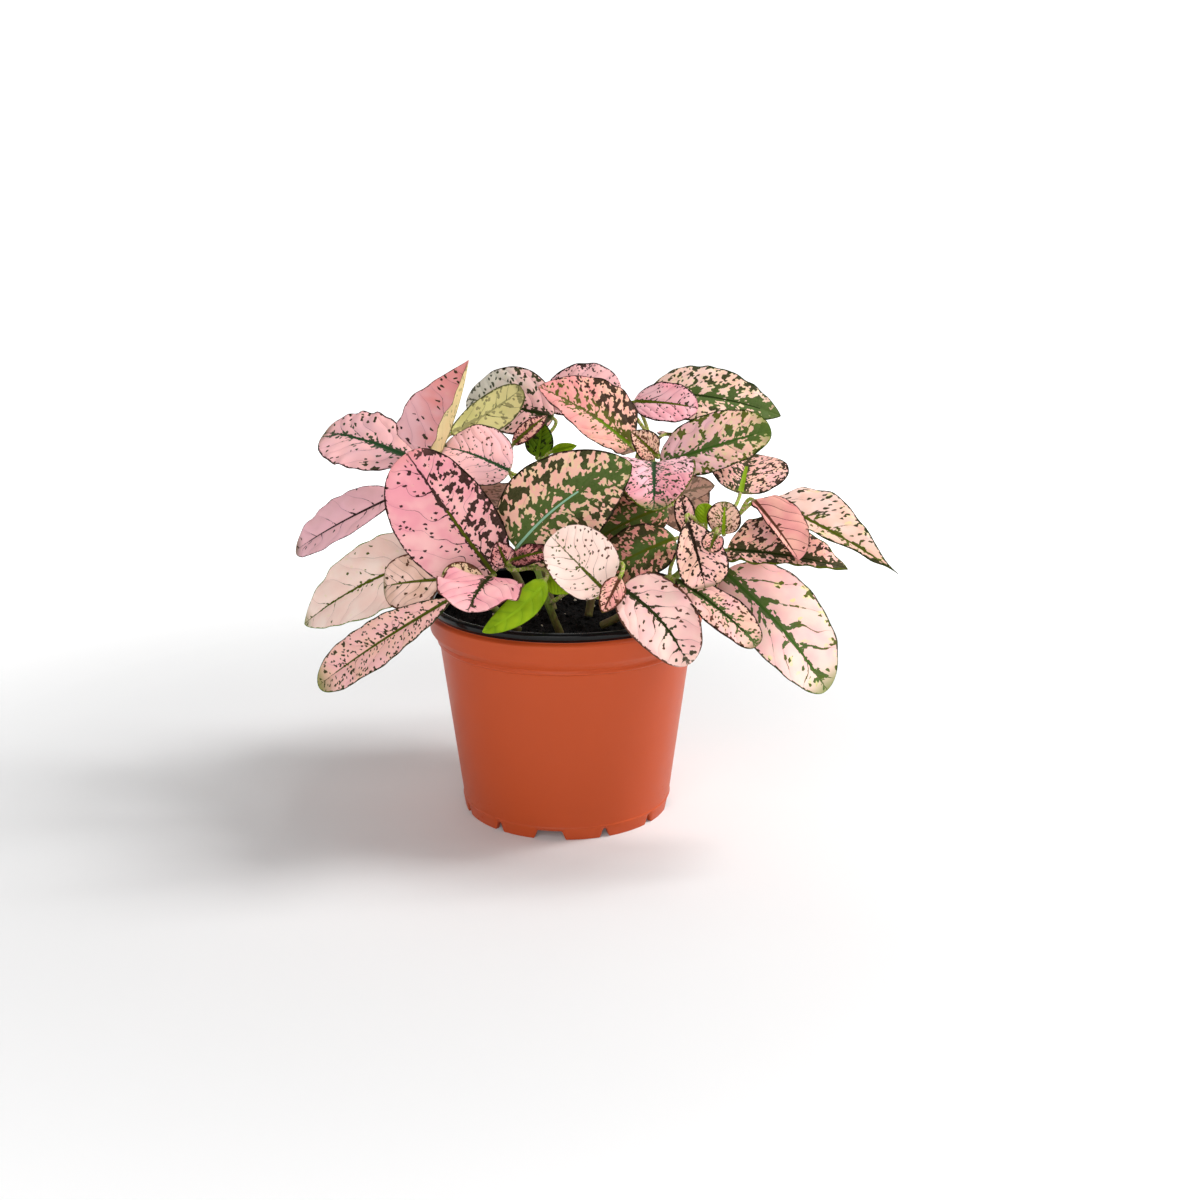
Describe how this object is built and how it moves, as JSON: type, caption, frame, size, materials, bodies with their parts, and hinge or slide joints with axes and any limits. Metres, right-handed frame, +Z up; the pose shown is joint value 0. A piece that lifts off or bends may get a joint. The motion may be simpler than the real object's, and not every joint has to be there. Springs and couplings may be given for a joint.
{
  "type": "potted plant",
  "caption": "Polka dot plant with pink, green-veined leaves, growing in dark potting soil in a round terracotta-coloured nursery pot with a black rim.",
  "frame": {"origin": "centre of the bounding box's bottom, on the surface that the pot stands on", "axes": "+Z up, +X across the plant's widest spread, -Y towards the viewer at the front"},
  "size_m": [0.258, 0.166, 0.199],
  "materials": {
    "pot": "satin terracotta orange, with a glossy black rim and inside",
    "soil": "moist, loose and crumbly, nearly black",
    "stem": "smooth green stem, brownish towards the foot",
    "leaf": "soft satin pink leaf with dark green veins and blotches",
    "leaf_green": "soft satin plain green leaf"
  },
  "bodies": {
    "root": {"pot": "pot", "soil": "soil", "shoot_a": "stem", "shoot_b": "stem", "shoot_c": "stem", "shoot_d": "stem", "shoot_e": "stem", "shoot_f": "stem", "shoot_g": "stem", "leaf_a1": "leaf", "leaf_a2": "leaf", "leaf_a3": "leaf", "leaf_a4": "leaf", "leaf_b1": "leaf", "leaf_b2": "leaf", "leaf_b3": "leaf", "leaf_b4": "leaf", "leaf_b5": "leaf", "leaf_b6": "leaf", "leaf_c1": "leaf", "leaf_c2": "leaf", "leaf_c3": "leaf", "leaf_c4": "leaf", "leaf_c6": "leaf", "leaf_c7": "leaf_green", "leaf_c8": "leaf_green", "leaf_d1": "leaf", "leaf_d2": "leaf", "leaf_d3": "leaf", "leaf_d4": "leaf", "leaf_d5": "leaf", "leaf_d6": "leaf", "leaf_d7": "leaf", "leaf_d8": "leaf", "leaf_d9": "leaf", "leaf_e1": "leaf", "leaf_e2": "leaf", "leaf_e3": "leaf", "leaf_e4": "leaf", "leaf_e5": "leaf_green", "leaf_e6": "leaf_green", "leaf_e7": "leaf", "leaf_e8": "leaf", "leaf_e9": "leaf", "leaf_f1": "leaf", "leaf_f2": "leaf", "leaf_f3": "leaf", "leaf_f4": "leaf", "leaf_f5": "leaf", "leaf_f6": "leaf", "leaf_f7": "leaf_green", "leaf_f8": "leaf", "leaf_f9": "leaf", "leaf_f10": "leaf", "leaf_f11": "leaf", "leaf_f12": "leaf", "leaf_f13": "leaf", "leaf_g1": "leaf", "leaf_g2": "leaf", "leaf_g3": "leaf"}
  },
  "joints": []
}
